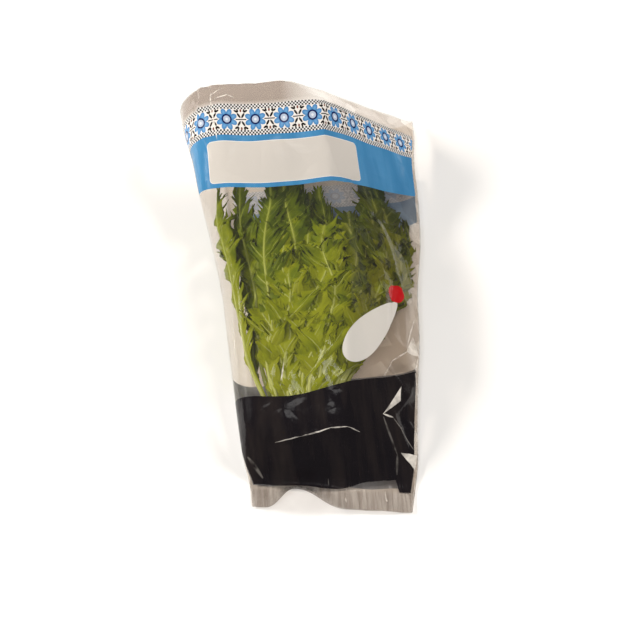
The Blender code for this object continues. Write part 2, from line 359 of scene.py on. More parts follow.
# Creases of the front panel: from (u, v) to (u, v) on the film, height and width in millimetres.
CREASES = (
    (46, 388, 40, 340, 1.6, 3.0),
    (40, 340, 52, 296, 1.0, 3.0),
    (-64, 388, -68, 350, 2.6, 1.6),
    (-67, 366, -44, 380, 1.8, 1.5),
    (-66, 372, -52, 388, 1.6, 1.5),
    (-68, 350, -58, 326, 1.2, 1.8),
    (-84, 296, -66, 170, 0.6, 1.8),
    (-72, 262, -52, 120, -0.5, 1.8),
    (102, 104, 76, 78, 3.0, 3.5),
    (76, 78, 84, 44, 2.6, 3.0),
    (86, 75, 103, 50, 2.2, 2.4),
    (84, 44, 80, 29, 1.6, 2.4),
    (-18, 52, 24, 63, 1.9, 1.5),
    (24, 63, 48, 61, 1.5, 1.4),
    (-70, 92, -40, 30, 1.8, 2.4),
    (-58, 44, -30, 24, 1.6, 2.0),
    (86, 250, 106, 180, 2.0, 2.4),
    (100, 210, 84, 150, -1.8, 2.8),
    (84, 150, 108, 120, 2.2, 2.2),
    (70, 132, 92, 96, 1.8, 2.4),
    (104, 170, 96, 128, 1.8, 2.0),
    (90, 60, 104, 36, 2.0, 2.0),
)
CRUMPLE_SEED = 5
CRUMPLES = 90

# Painted highlights on sharp folds of the film: u, v to u, v, the line's width in millimetres and
# how bright its painted highlight is.
PAINTED_GLINT_LINES = (
    (-54, 386, -54, 367, 1.0, 0.9),
    (-54, 367, -51, 338, 0.8, 0.8),
    (-53, 379, -43, 384, 0.7, 0.8),
    (-51, 373, -40, 377, 0.8, 0.8),
    (-40, 377, -34, 374, 0.6, 0.6),
    (44, 361, 79, 358, 0.6, 0.6),
    (79, 358, 135, 370, 0.7, 0.6),
    (163, 316, 158, 269, 1.0, 0.8),
    (-18, 52, 3, 57, 0.6, 0.5),
    (3, 57, 24, 63, 0.8, 0.85),
    (24, 63, 36, 63, 0.9, 0.8),
    (36, 63, 48, 60, 0.6, 0.5),
    (76, 78, 86, 75, 1.1, 0.8),
    (86, 75, 103, 50, 0.9, 0.22),
    (76, 75, 84, 44, 1.6, 0.12),
    (84, 44, 80, 29, 1.6, 0.12),
    (-40, 39, -30, 23, 1.8, 0.14),
    (137, 165, 115, 133, 0.9, 0.6),
    (115, 133, 96, 125, 0.9, 0.5),
    (96, 125, 83, 111, 0.8, 0.35),
    (134, 130, 125, 118, 1.1, 0.8),
    (124, 115, 120, 86, 1.0, 0.7),
    (120, 86, 105, 45, 0.9, 0.6),
    (101, 33, 93, 14, 1.0, 0.7),
    (-48, 160, -45, 120, 0.5, 0.5),
    (-7, 124, -11, 105, 0.8, 0.7),
)
# Faces of the film that a fold turns to the light, as triangles of u, v corners, each with a painted
# highlight.
PAINTED_GLINT_FACES = (
    ((102, 103), (76, 78), (98, 90)),
    ((131, 149), (115, 133), (134, 130)),
    ((88, 46), (105, 45), (99, 33)),
)


def random_creases():
    """Short random creases, most of them where the film is loose: right side, black band and left edge."""
    draw = random.Random(CRUMPLE_SEED)
    zones = ((52, 110, 30, 300), (-50, 90, 22, 110), (-100, -66, 40, 380), (-80, 120, 366, 388))
    found = []
    for n in range(CRUMPLES):
        u0, u1, v0, v1 = zones[n % len(zones)]
        u, v = draw.uniform(u0, u1), draw.uniform(v0, v1)
        turn, size = draw.uniform(0, math.pi), draw.uniform(8, 26)
        height = draw.uniform(0.4, 1.3) * draw.choice((1, -1))
        ends = (u + size * math.cos(turn), v + size * math.sin(turn))
        found.append((u, v, *ends, height, draw.uniform(1.5, 3.5)))
    return found


def crease_height(u, v):
    """How far the loose film stands off its smooth form."""
    out = 0.5 * np.sin(u / 7.0 + 1.3 * np.sin(v / 31.0)) * np.sin(v / 19.0 + u / 37.0)
    for u0, v0, u1, v1, height, width in list(CREASES) + random_creases():
        length2 = (u1 - u0) ** 2 + (v1 - v0) ** 2
        f = np.clip(((u - u0) * (u1 - u0) + (v - v0) * (v1 - v0)) / length2, 0, 1)
        away = np.hypot(u - u0 - f * (u1 - u0), v - v0 - f * (v1 - v0))
        fade = 0.35 + 0.65 * np.sin(math.pi * np.clip(f, 0.05, 0.95))
        out = out + height * np.exp(-away / width) * fade
    return np.clip(out, -1.9, 3.2)


def film_ring(s):
    """One section of the sleeve: points, film map coordinates and distances from the nearest fold."""
    row = station(STATIONS, s)
    x, z, run, middle, end = panel(front_height, row, FRONT_COLUMNS)
    edge = np.minimum(run, end - run)
    loose = np.clip((s - WELD) / LOOSE_BY[0], 0, 1) * np.clip(edge / LOOSE_BY[1], 0, 1)
    u = run - middle
    slope_x, slope_z = np.gradient(x), np.gradient(z)
    size = np.hypot(slope_x, slope_z)
    stand = crease_height(u, np.full_like(u, s)) * loose
    x_out = x - slope_z / size * stand
    z_out = z + slope_x / size * stand
    y = s - hang(x, np.broadcast_to(row, (len(x), len(row)))) + hem_slant(x, s, row)
    front = hem_points(x_out, y, z_out, s)
    u_map = (gathered(u) + FRONT_SHIFT) / MAP

    bx, bz, brun, _, bend = panel(back_height, row, BACK_COLUMNS)
    back_edge = np.minimum(brun, bend - brun)
    loose = np.clip((s - WELD) / BACK_LOOSE_BY[0], 0, 1) * np.clip(back_edge / BACK_LOOSE_BY[1], 0, 1)
    ripple = 0.35 * (1 + np.sin(brun / 11.0 + s / 23.0) * np.sin(s / 9.0 + brun / 29.0)) * loose
    back = hem_points(bx, s + hem_slant(bx, s, row), bz + ripple, s)
    back_map = (brun - bend / 2 + BACK_SHIFT) / MAP
    return front, u_map, edge, back[::-1], back_map[::-1], back_edge[::-1]


def build_film():
    """The whole sleeve: one tube of film, closed along the hem and open at the mouth."""
    count = FRONT_COLUMNS + BACK_COLUMNS
    points, faces, corners, edges, maps = [], [], [], [], []
    places = np.linspace(0, LENGTH, ROWS)
    for s in places:
        front, u_map, edge, back, back_map, back_edge = film_ring(float(s))
        points.append(np.concatenate([front, back[1:-1]]))
        edges.append(np.concatenate([edge, back_edge[1:-1]]))
        maps.append((u_map, back_map))
    for j in range(ROWS - 1):
        a, b = j * count, (j + 1) * count
        va, vb = places[j] / MAP, places[j + 1] / MAP
        for k in range(count):
            n = (k + 1) % count
            faces.append((a + k, a + n, b + n, b + k))
            side, m = (0, k) if k < FRONT_COLUMNS else (1, k - FRONT_COLUMNS)
            below, above = maps[j][side], maps[j + 1][side]
            corners += [(below[m], va), (below[m + 1], va), (above[m + 1], vb), (above[m], vb)]
    # The weld closes the tube's end with faces between the front's edge and the back's.
    for k in range(FRONT_COLUMNS):
        ring = [k, k + 1]
        for m in (k + 1, k):
            ring.append((count - round(m / FRONT_COLUMNS * BACK_COLUMNS)) % count)
        face = [point for n, point in enumerate(ring) if point not in ring[:n]]
        faces.append(tuple(face[::-1]))
        corners += [(WELD_MAP + k / FRONT_COLUMNS * 0.1, 0.0)] * len(face)
    piece = new_piece("sleeve_film", np.concatenate(points), faces)
    layer = piece.data.uv_layers.new(name="film")
    layer.data.foreach_set("uv", np.array(corners, np.float32).ravel())
    store(piece.data, "fold", "FLOAT", "value", np.concatenate(edges))
    return piece


def link(thing):
    """Puts an object into the scene."""
    bpy.context.scene.collection.objects.link(thing)
    return thing


def new_piece(name, points, faces, edges=()):
    """A smooth piece in the frame's metres, from points in the sleeve's millimetres."""
    mesh = bpy.data.meshes.new(name)
    spots = (np.asarray(points) - (0, LENGTH / 2, 0)) * MM
    mesh.from_pydata([tuple(spot) for spot in spots], edges, faces)
    mesh.shade_smooth()
    mesh.update()
    return link(bpy.data.objects.new(name, mesh))


def store(mesh, name, kind, field, values):
    """Stores a number or a vector for each point of a mesh."""
    attribute = mesh.attributes.new(name, kind, "POINT")
    attribute.data.foreach_set(field, np.asarray(values, np.float32).ravel())


# The head's form

def press(a, b, y):
    """Points (a, b) of the bunch's unit disc, pressed into the room inside the sleeve at y."""
    radius = np.hypot(a, b)
    limit = 1 / (1 + radius**12) ** (1 / 12)
    a, b = a * limit, b * limit
    sides = station(BUNCH, y)
    left, right = sides[..., 0], sides[..., 1]
    x = (left + right) / 2 + a * (right - left) / 2
    row = station(STATIONS, y)
    row = station(STATIONS, y + hang(x, row))
    top = front_height(x, row) - CLEAR
    under = back_height(x, row) + CLEAR
    fill = np.clip((y - 60) / 140, 0, 1)
    rise = b / np.maximum(1e-3, 1 - a * a) ** (0.5 * fill)
    return np.stack([x, y, (top + under) / 2 + rise * (top - under) / 2], -1)


def kept_inside(points, margin):
    """The points held between the two panels of film."""
    x, y, z = points[..., 0], points[..., 1], points[..., 2]
    row = station(STATIONS, y)
    x = np.clip(x, row[..., 0] + margin + 0.4, row[..., 6] - 2.6)
    row = station(STATIONS, y + hang(x, row))
    top, under = front_height(x, row) - margin, back_height(x, row) + margin
    z = top - FILM_PRESS * np.logaddexp(0.0, (top - z) / FILM_PRESS)
    return np.stack([x, y, np.maximum(z, np.minimum(under, top))], -1)


class Leaf:
    """One leaf: where it stands in the bunch, how long and wide it is, and how it waves."""

    def __init__(self, index, draw):
        self.turn = index * GOLDEN_TURN + draw.uniform(-0.15, 0.15)
        self.reach = OUTER_REACH * math.sqrt((index + 0.6) / LEAVES)
        across = self.reach * math.cos(self.turn)
        right = min(max((across - 0.15) / 0.35, 0.0), 1.0)
        heart = max(0.0, 1 - self.reach / 0.5)
        self.is_short = index % SHORT_EVERY == SHORT_EVERY - 1
        self.tip = LEAF_TIP - TIP_SPREAD * draw.random() - RIGHT_LESS * right - HEART_LESS * heart
        self.tip -= SHORT_LESS * self.is_short
        self.half = HALF_WIDTH[0] + HALF_WIDTH[1] * self.reach + HALF_WIDTH[2] * draw.random()
        self.phase = draw.uniform(0, 2 * math.pi)
        self.sway = draw.uniform(-0.3, 0.3)
        self.twist = draw.uniform(-0.5, 0.5)
        self.widths = [draw.uniform(0.72, 1.0) for _ in range(2 * LOBES)]
        own = random.Random(1000 * LEAF_SEED + index)
        self.lean = own.uniform(-0.5, 0.5)
        self.notch = 0.30 if self.is_short else own.uniform(0.42, 0.62)
        self.curl = own.uniform(0.7, 1.3)
        self.shift = own.random()
        left = min(max((-across - 0.2) / 0.5, 0.0), 1.0)
        self.tone = 0.42 - 0.04 * left - 0.2 * self.is_short + own.uniform(-0.2, 0.2)
        self.rows, self.columns = BLADE_ROWS, BLADE_COLUMNS
        if index >= LEAVES:
            self.become_shoot(index - LEAVES, own)
        self.length = self.tip - LEAF_BASE
        is_long = self.length > LONG_LEAF
        self.lobes = LOBES if is_long else max(3, round(self.length / LOBE_SPACE))
        self.small = SMALL_LOBES if is_long else SMALL_LOBES - 1

    def become_shoot(self, index, own):
        """Makes this a short, broad and curly leaf, most of them under the front of the sleeve."""
        self.turn = math.radians(15 + 150 * ((index * 0.618) % 1.0)) * (1 if index % 5 else -1)
        self.reach = own.uniform(0.6, 0.95)
        across = self.reach * math.cos(self.turn)
        self.tip = own.uniform(112, 250) - 40 * max(0.0, across)
        if self.tip < 170:
            self.turn, self.reach = math.radians(own.uniform(25, 155)), own.uniform(0.98, 1.08)
        self.half = own.uniform(24, 34)
        self.rows, self.columns = SHOOT_ROWS, SHOOT_COLUMNS
        if index in RIGHT_SHOOTS:
            self.turn, self.reach = math.radians(own.uniform(-12, 22)), 0.98
            self.tip = own.uniform(215, 262)
        if index in TALL_SHOOTS:
            self.turn, self.reach = math.radians(own.uniform(14, 30)), 0.76
            self.tip = own.uniform(292, 308)
        self.lean = own.uniform(-0.7, 0.7) * (1.0 if self.tip < 270 else 0.2)
        self.twist = own.uniform(-0.7, 0.7)
        self.notch = own.uniform(0.12, 0.3)
        self.curl = own.uniform(0.9, 1.3)
        self.tone = own.uniform(0.05, 0.4) + 0.4 * (index in TALL_SHOOTS)

    def envelope(self, u):
        """Half the blade's width over its lobes' tips, at u from its first lobe to its tip."""
        return self.half * (0.25 + 0.75 * np.sin(math.pi * np.clip(u, 0.0, 1.0) ** 1.2))

    def margin(self, u, right):
        """The outline beside the rib's place u: its place along the rib and its distance from it."""
        pitch = LOBED_PART / self.lobes
        k = np.clip(np.floor(u / pitch), 0, self.lobes - 1).astype(int)
        f = np.clip((u - k * pitch) / pitch, 0, 1)
        share = np.array(self.widths)[k + (LOBES if right else 0)]
        apex_t = (k * pitch + 0.95 / self.lobes) * LOBED_PART
        apex_q = self.envelope(apex_t) * share
        first = np.maximum(2.0, 0.42 * self.envelope(k * pitch))
        last = np.maximum(2.0, 0.42 * self.envelope((k + 1) * pitch))
        g = np.clip(f / LOBE_TURN, 0, 1)
        h = np.clip((f - LOBE_TURN) / (1 - LOBE_TURN), 0, 1)
        up, down = apex_t - k * pitch, (k + 1) * pitch - apex_t
        t = np.where(f < LOBE_TURN, k * pitch + up * g, apex_t + down * h)
        rise = first + (apex_q - first) * np.sin(g * math.pi / 2) ** 1.1
        fall = apex_q + (last - apex_q) * (1 - np.cos(h * math.pi / 2))
        q = np.where(f < LOBE_TURN, rise, fall)
        count = u * self.lobes * self.small + self.shift + (0.5 if right else 0.0)
        count = count + 0.32 * np.sin(1.7 * count + 5 * self.phase + right)
        small = count % 1
        uneven = 0.86 + 0.14 * np.sin(12.9898 * np.floor(count) + 4 * self.phase)
        rise, fall = np.sin(small / 0.7 * math.pi / 2), np.cos((small - 0.7) / 0.3 * math.pi / 2)
        hump = np.where(small < 0.7, rise, fall)
        q = q * (1 - self.notch * (1 - hump)) * uneven
        tooth = (small * TEETH + 0.31 * k) % 1
        point = np.where(tooth < 0.65, tooth / 0.65, (1 - tooth) / 0.35)
        q = q + np.minimum(TOOTH, 0.3 * q) * (point - 0.4)
        t = t + 0.35 * hump * pitch / self.small
        end = np.clip((u - LOBED_PART) / (1 - LOBED_PART), 0, 1)
        return t + end * (1 - t), q * (1 - end)

    def flat_at(self, t, q):
        """Points of the blade before it ruffles, at t along the rib and q millimetres beside it."""
        y = LEAF_BASE + t * self.length
        sides = station(BUNCH, y)
        width = (sides[..., 1] - sides[..., 0]) / 2
        turn = self.turn + self.sway * np.sin(2.4 * t) + self.lean * t**1.6
        turn = turn + 0.07 * np.sin(11 * t + self.phase) * np.minimum(1.0, 3 * t)
        flat = width * (np.sin(turn) ** 2 + 0.55 * np.cos(turn) ** 2)
        turn = turn + q * math.cos(self.twist) / flat / max(self.reach, 0.45)
        radius = self.reach * (1 - 0.12 * np.maximum(0.0, t - 0.8) / 0.2)
        radius = np.maximum(0.03, radius + math.sin(self.twist) * q / width * 0.9)
        pressed = np.clip(t / 0.5, 0, 1)
        aside = np.where(np.cos(turn) < 0, PRESSED_LEFT, PRESSED_RIGHT)
        across = radius * (1 - aside * pressed) * np.cos(turn)
        return press(across, radius * (1 - PRESSED * pressed) * np.sin(turn), y)

    def section(self, t, run, right):
        """The blade's section from its rib outward: each row's distances run, bent into waves that
        grow toward the margin, as distances beside the rib and above the flat form."""
        out = np.minimum(1.3, run / self.half)
        along = t * self.length
        side = 0.5 * math.pi if right else 0.0
        drift = 1.1 * np.sin(along / 33.0 + 2 * self.phase + side)
        wave = np.sin(along * 2 * math.pi / WAVES[0] + self.phase + side + drift)
        curl = np.sin(along * 2 * math.pi / WAVES[1] + 2.1 * self.phase + 2 * side - 1.4 * drift)
        frill = np.sin(along * 2 * math.pi / WAVES[2] + 3.7 * self.phase - side + 2 * drift)
        bend = 1.3 * out * wave + 0.8 * out**1.5 * curl + 0.8 * out**3 * frill
        bend = self.curl * bend + 0.25 * np.sin(run / 2.1 + along / 3.3) * np.minimum(1.0, run / 6)
        step = np.diff(run, axis=1, prepend=0.0)
        return np.cumsum(step * np.cos(bend), axis=1), np.cumsum(step * np.sin(bend), axis=1)

    def lifted(self, t, q, lift):
        """Points at t and q that stand lift millimetres off the flat form, kept inside the film."""
        step_t, step_q = 0.004, 0.6
        along = self.flat_at(t + step_t, q) - self.flat_at(t - step_t, q)
        across = self.flat_at(t, q + step_q) - self.flat_at(t, q - step_q)
        normal = np.cross(across, along)
        normal /= np.maximum(1e-6, np.linalg.norm(normal, axis=-1, keepdims=True))
        return kept_inside(self.flat_at(t, q) + normal * lift[..., None], 2.4)


def blade_grid(leaf):
    """A leaf's blade as rows of points from margin to margin, with each point's place on the leaf."""
    stalk = max(4, leaf.rows // 10)
    t_stalk = np.linspace(0, PETIOLE, stalk, endpoint=False)
    u = np.linspace(0, 1, leaf.rows - stalk)
    half_columns = leaf.columns // 2
    out = np.linspace(0, 1, half_columns + 1)[None, :] ** 0.9
    sides = []
    for right in (False, True):
        edge_t, edge_q = leaf.margin(u, right)
        run = out * edge_q[:, None] * FULLNESS
        t = u[:, None] + out * (edge_t - u)[:, None]
        t = PETIOLE + (1 - PETIOLE) * t + FORWARD * run / leaf.length
        widths = PETIOLE_HALF * (0.75 + 0.25 * t_stalk / PETIOLE)
        t = np.concatenate([np.repeat(t_stalk[:, None], half_columns + 1, 1), t])
        run = np.concatenate([widths[:, None] * out, run])
        q, lift = leaf.section(t, run, right)
        sides.append((t, run, q, lift))
    (lt, lrun, lq, llift), (rt, rrun, rq, rlift) = sides
    t = np.concatenate([lt[:, :0:-1], rt], 1)
    q = np.concatenate([-lq[:, :0:-1], rq], 1)
    run = np.concatenate([-lrun[:, :0:-1], rrun], 1)
    lift = np.concatenate([llift[:, :0:-1], rlift], 1)
    across = np.concatenate([-out[0, :0:-1], out[0]])
    vein = np.concatenate([np.zeros(stalk), u * leaf.lobes * leaf.small + leaf.shift + 0.3])
    place = np.stack([run, t * leaf.length, np.full_like(t, leaf.tone)], -1)
    veins = vein[:, None] + np.where(across > 0, 0.5, 0.0)[None, :]
    rim = np.stack([np.abs(across)[None, :].repeat(len(t), 0), veins, np.zeros_like(t)], -1)
    return leaf.lifted(t, q, lift), place, rim


def blade_mesh(leaf):
    """A leaf's blade as points, faces and, for each point, its place on the leaf."""
    points, place, rim = blade_grid(leaf)
    rows, columns = points.shape[:2]
    faces = []
    for j in range(rows - 1):
        for k in range(columns - 1):
            a = j * columns + k
            faces.append((a, a + 1, a + 1 + columns, a + columns))
    return points.reshape(-1, 3), faces, place.reshape(-1, 3), rim.reshape(-1, 3)


def side_ribs(leaf):
    """The side ribs' paths: the blade's own rows that end at the tips of its large lobes."""
    points, place, _ = blade_grid(leaf)
    stalk = max(4, leaf.rows // 10)
    middle = leaf.columns // 2
    paths = []
    for n in range(leaf.lobes - 1):
        for right in (False, True):
            row = stalk + round((n + LOBE_TURN) * LOBED_PART / leaf.lobes * (leaf.rows - stalk - 1))
            reach = middle if n < leaf.lobes - 2 else middle - 1
            columns = [middle + (k if right else -k) for k in range(reach)]
            paths.append((points[row, columns], place[row, columns, 1]))
    return paths


def build_blades(name, leaves):
    """Several leaves' blades in one object, with their places on the leaf as attributes."""
    spots, faces, places, rims = [], [], [], []
    for leaf in leaves:
        points, found, place, rim = blade_mesh(leaf)
        start = sum(len(p) for p in spots)
        spots.append(points)
        places.append(place)
        rims.append(rim)
        faces += [tuple(start + n for n in face) for face in found]
    piece = new_piece(name, np.concatenate(spots), faces)
    store(piece.data, "leaf_place", "FLOAT_VECTOR", "vector", np.concatenate(places))
    store(piece.data, "leaf_rim", "FLOAT_VECTOR", "vector", np.concatenate(rims))
    wall = piece.modifiers.new("thickness", "SOLIDIFY")
    wall.thickness = BLADE * MM
    wall.offset = 0
    return piece


def add_node(tree, kind, *values, **named):
    """Adds a node and fills its inputs: the values in their order, the named ones by name. A kind may
    come with its settings. A node given as a value stands for its first output, and a hex code for its
    colour. The functions below call this add, with their own tree already given."""
    kind, settings = (kind, {}) if isinstance(kind, str) else kind
    node = tree.nodes.new(kind)
    for key, value in settings.items():
        setattr(node, key, value)
    filled = list(zip([socket for socket in node.inputs if socket.enabled], values))
    filled += [(node.inputs[key.replace("_", " ")], value) for key, value in named.items()]
    for socket, value in filled:
        if isinstance(value, bpy.types.Node):
            value = next(output for output in value.outputs if output.enabled)
        if isinstance(value, bpy.types.NodeSocket):
            tree.links.new(value, socket)
        else:
            is_colour = isinstance(value, str) and value.startswith("#")
            socket.default_value = linear(value) if is_colour else value
    return node


def rib_tree(material):
    """Geometry nodes: sweeps a round profile along each rib's path, as thick as the path says."""
    tree = bpy.data.node_groups.new("rib sweep", "GeometryNodeTree")
    face = tree.interface
    face.new_socket("Geometry", in_out="INPUT", socket_type="NodeSocketGeometry")
    sides = face.new_socket("Profile sides", in_out="INPUT", socket_type="NodeSocketInt")
    radius = face.new_socket("Profile radius", in_out="INPUT", socket_type="NodeSocketFloat")
    face.new_socket("Geometry", in_out="OUTPUT", socket_type="NodeSocketGeometry")
    add = partial(add_node, tree)
    given = add("NodeGroupInput").outputs
    thick = add(("GeometryNodeInputNamedAttribute", {"data_type": "FLOAT"}), "thick")
    curve = add("GeometryNodeMeshToCurve", given["Geometry"])
    curve = add("GeometryNodeSetCurveRadius", curve, Radius=thick)
    ring = add("GeometryNodeCurvePrimitiveCircle", given["Profile sides"], given["Profile radius"])
    swept = add("GeometryNodeCurveToMesh", curve, ring, Scale=thick, Fill_Caps=True)
    smooth = add("GeometryNodeSetShadeSmooth", swept)
    whole = add("GeometryNodeRealizeInstances", smooth)
    add("NodeGroupOutput", add("GeometryNodeSetMaterial", whole, Material=material))
    return tree, sides.identifier, radius.identifier


def build_ribs(leaves, material):
    """The pale ribs and leaf stalks, swept up the leaves' middles and out to their large lobes."""
    points, edges, thick, places = [], [], [], []
    for leaf in leaves:
        t = np.linspace(0.0, RIB_END, RIB_STEPS)
        middle = leaf.lifted(t, np.zeros_like(t), np.zeros_like(t))
        paths = [(middle, t * leaf.length, RIB - (RIB - RIB_TIP) * t**0.7)]
        for path, along in side_ribs(leaf):
            root = SIDE_RIB - 0.5 * along.mean() / LONGEST
            paths.append((path, along + 30, np.linspace(root, SIDE_RIB_TIP, len(path))))
        for path, along, sizes in paths:
            start = len(points)
            points += list(path)
            edges += [(start + n, start + n + 1) for n in range(len(path) - 1)]
            thick += list(sizes * MM)
            places += [(0.0, value, leaf.tone) for value in along]
    ribs = new_piece("head_ribs", points, [], edges)
    store(ribs.data, "thick", "FLOAT", "value", thick)
    store(ribs.data, "leaf_place", "FLOAT_VECTOR", "vector", places)
    tree, sides, radius = rib_tree(material)
    sweep = ribs.modifiers.new("ribs", "NODES")
    sweep.node_group = tree
    sweep[sides] = 6
    sweep[radius] = 1.0
    bpy.context.view_layer.update()
    graph = bpy.context.evaluated_depsgraph_get()
    done = bpy.data.meshes.new_from_object(ribs.evaluated_get(graph))
    ribs.modifiers.clear()
    ribs.data = done
    return ribs


def build_stump():
    """The short pale stump below the leaves, a closed knob with a cut end."""
    points, faces = [], []
    turn = np.linspace(0, 2 * math.pi, STUMP_SIDES, endpoint=False)
    for y, size in STUMP:
        lump = size * (1 + 0.03 * np.sin(5 * turn + y / 5) + 0.02 * np.sin(11 * turn - y / 3))
        points.append(press(lump * np.cos(turn), lump * np.sin(turn), np.full(STUMP_SIDES, y)))
    for j in range(len(STUMP) - 1):
        a, b = j * STUMP_SIDES, (j + 1) * STUMP_SIDES
        for k in range(STUMP_SIDES):
            n = (k + 1) % STUMP_SIDES
            faces.append((b + k, b + n, a + n, a + k))
    faces.append(tuple(range(STUMP_SIDES)))
    faces.append(tuple((len(STUMP) - 1) * STUMP_SIDES + n for n in reversed(range(STUMP_SIDES))))
    return new_piece("head_stump", np.concatenate(points), faces)


# Materials, and the kinds of node that they use most

def kinds(node, *operations):
    """A kind of node for each of these operations."""
    return [(node, {"operation": operation}) for operation in operations]


ADD, SUBTRACT, MULTIPLY, DIVIDE = kinds("ShaderNodeMath", "ADD", "SUBTRACT", "MULTIPLY", "DIVIDE")
MAXIMUM, MINIMUM, ABSOLUTE = kinds("ShaderNodeMath", "MAXIMUM", "MINIMUM", "ABSOLUTE")
POWER, SQRT, SINE, COSINE, ARCTAN2 = kinds("ShaderNodeMath", "POWER", "SQRT", "SINE", "COSINE", "ARCTAN2")
FLOOR, FRACT, MODULO = kinds("ShaderNodeMath", "FLOOR", "FRACT", "FLOORED_MODULO")
COMPARE, ABOVE, BELOW = kinds("ShaderNodeMath", "COMPARE", "GREATER_THAN", "LESS_THAN")
VECTOR_SUBTRACT, VECTOR_SCALE = kinds("ShaderNodeVectorMath", "SUBTRACT", "SCALE")
DOT, DISTANCE = kinds("ShaderNodeVectorMath", "DOT_PRODUCT", "DISTANCE")
BLEND = ("ShaderNodeMix", {"data_type": "RGBA"})
RAMP = "ShaderNodeMapRange"
CLAMP = "ShaderNodeClamp"
NOISE = "ShaderNodeTexNoise"
PARTS = "ShaderNodeSeparateXYZ"
JOIN = "ShaderNodeCombineXYZ"
BUMP = "ShaderNodeBump"
BODY = "ShaderNodeBsdfPrincipled"
LAYER = "ShaderNodeMixShader"
COORDINATES = "ShaderNodeTexCoord"
ATTRIBUTE = "ShaderNodeAttribute"
OUTPUT = "ShaderNodeOutputMaterial"


def per_metre(size):
    """A pattern's scale on Object coordinates, from the size of its cells in millimetres."""
    return 1 / (size * MM)


def new_material(name):
    """An empty material, and the function that adds nodes to it."""
    material = bpy.data.materials.new(name)
    material.use_nodes = True
    material.node_tree.nodes.clear()
    return material, partial(add_node, material.node_tree)


def between(add, value, low, high):
    """1 where the value lies between two bounds."""
    return add(MULTIPLY, add(ABOVE, value, low), add(BELOW, value, high))


def squares(add, x, y):
    """x squared plus y squared."""
    return add(ADD, add(MULTIPLY, x, x), add(MULTIPLY, y, y))


def ellipse(add, x, y, centre, size, turn, taper=0.0):
    """1 inside an ellipse with its centre, its half axes and its turn from the x axis. A taper makes
    it an egg that is slimmer at its far end."""
    dx = add(SUBTRACT, x, centre[0])
    dy = add(SUBTRACT, y, centre[1])
    c, s = math.cos(turn), math.sin(turn)
    along = add(ADD, add(MULTIPLY, dx, c / size[0]), add(MULTIPLY, dy, s / size[0]))
    side = add(SUBTRACT, add(MULTIPLY, dy, c / size[1]), add(MULTIPLY, dx, s / size[1]))
    if taper:
        slimmer = add(SUBTRACT, 1.0, add(MULTIPLY, along, taper))
        side = add(DIVIDE, side, slimmer)
    return add(BELOW, squares(add, along, side), 1.0)


def rounded_box(add, x, y, box, corner):
    """1 inside a box (x low, x high, y low, y high) with round corners."""
    past = []
    for value, low, high in ((x, box[0], box[1]), (y, box[2], box[3])):
        off_middle = add(ABSOLUTE, add(SUBTRACT, value, (low + high) / 2))
        past.append(add(MAXIMUM, add(SUBTRACT, off_middle, (high - low) / 2 - corner), 0.0))
    return add(BELOW, squares(add, *past), corner * corner)


def painted_glint_line(add, spot, line):
    """1 on a thin line of painted highlight between two places of the film, less toward its sides."""
    u0, v0, u1, v1, width, white = line
    du, dv = u1 - u0, v1 - v0
    length2 = du * du + dv * dv
    spot = add(VECTOR_SUBTRACT, spot, (u0, v0, 0))
    share = add(CLAMP, add(DOT, spot, (du / length2, dv / length2, 0)))
    away = add(DISTANCE, spot, add(VECTOR_SCALE, (du, dv, 0), share))
    inner = add(MULTIPLY, add(MULTIPLY, share, add(SUBTRACT, 1.0, share)), 4.0)
    wide = add(MULTIPLY, add(ADD, add(MULTIPLY, inner, 0.6), 0.4), width)
    near = add(SUBTRACT, 1.0, add(DIVIDE, away, wide))
    near = add(CLAMP, add(MULTIPLY, near, 1.6))
    return add(MULTIPLY, near, white)


def painted_glint_face(add, spot, corners):
    """1 inside a triangle of the film that a fold has turned to the light, where a highlight is painted.
    """
    inside = 1.0
    for n in range(3):
        (u0, v0), (u1, v1), (u2, v2) = (corners[(n + k) % 3] for k in range(3))
        across, up = v0 - v1, u1 - u0
        turned = math.copysign(1.0, across * (u2 - u0) + up * (v2 - v0))
        side = add(DOT, spot, (across * turned, up * turned, 0))
        beyond = add(ABOVE, side, (across * u0 + up * v0) * turned)
        inside = add(MULTIPLY, beyond, inside)
    return inside


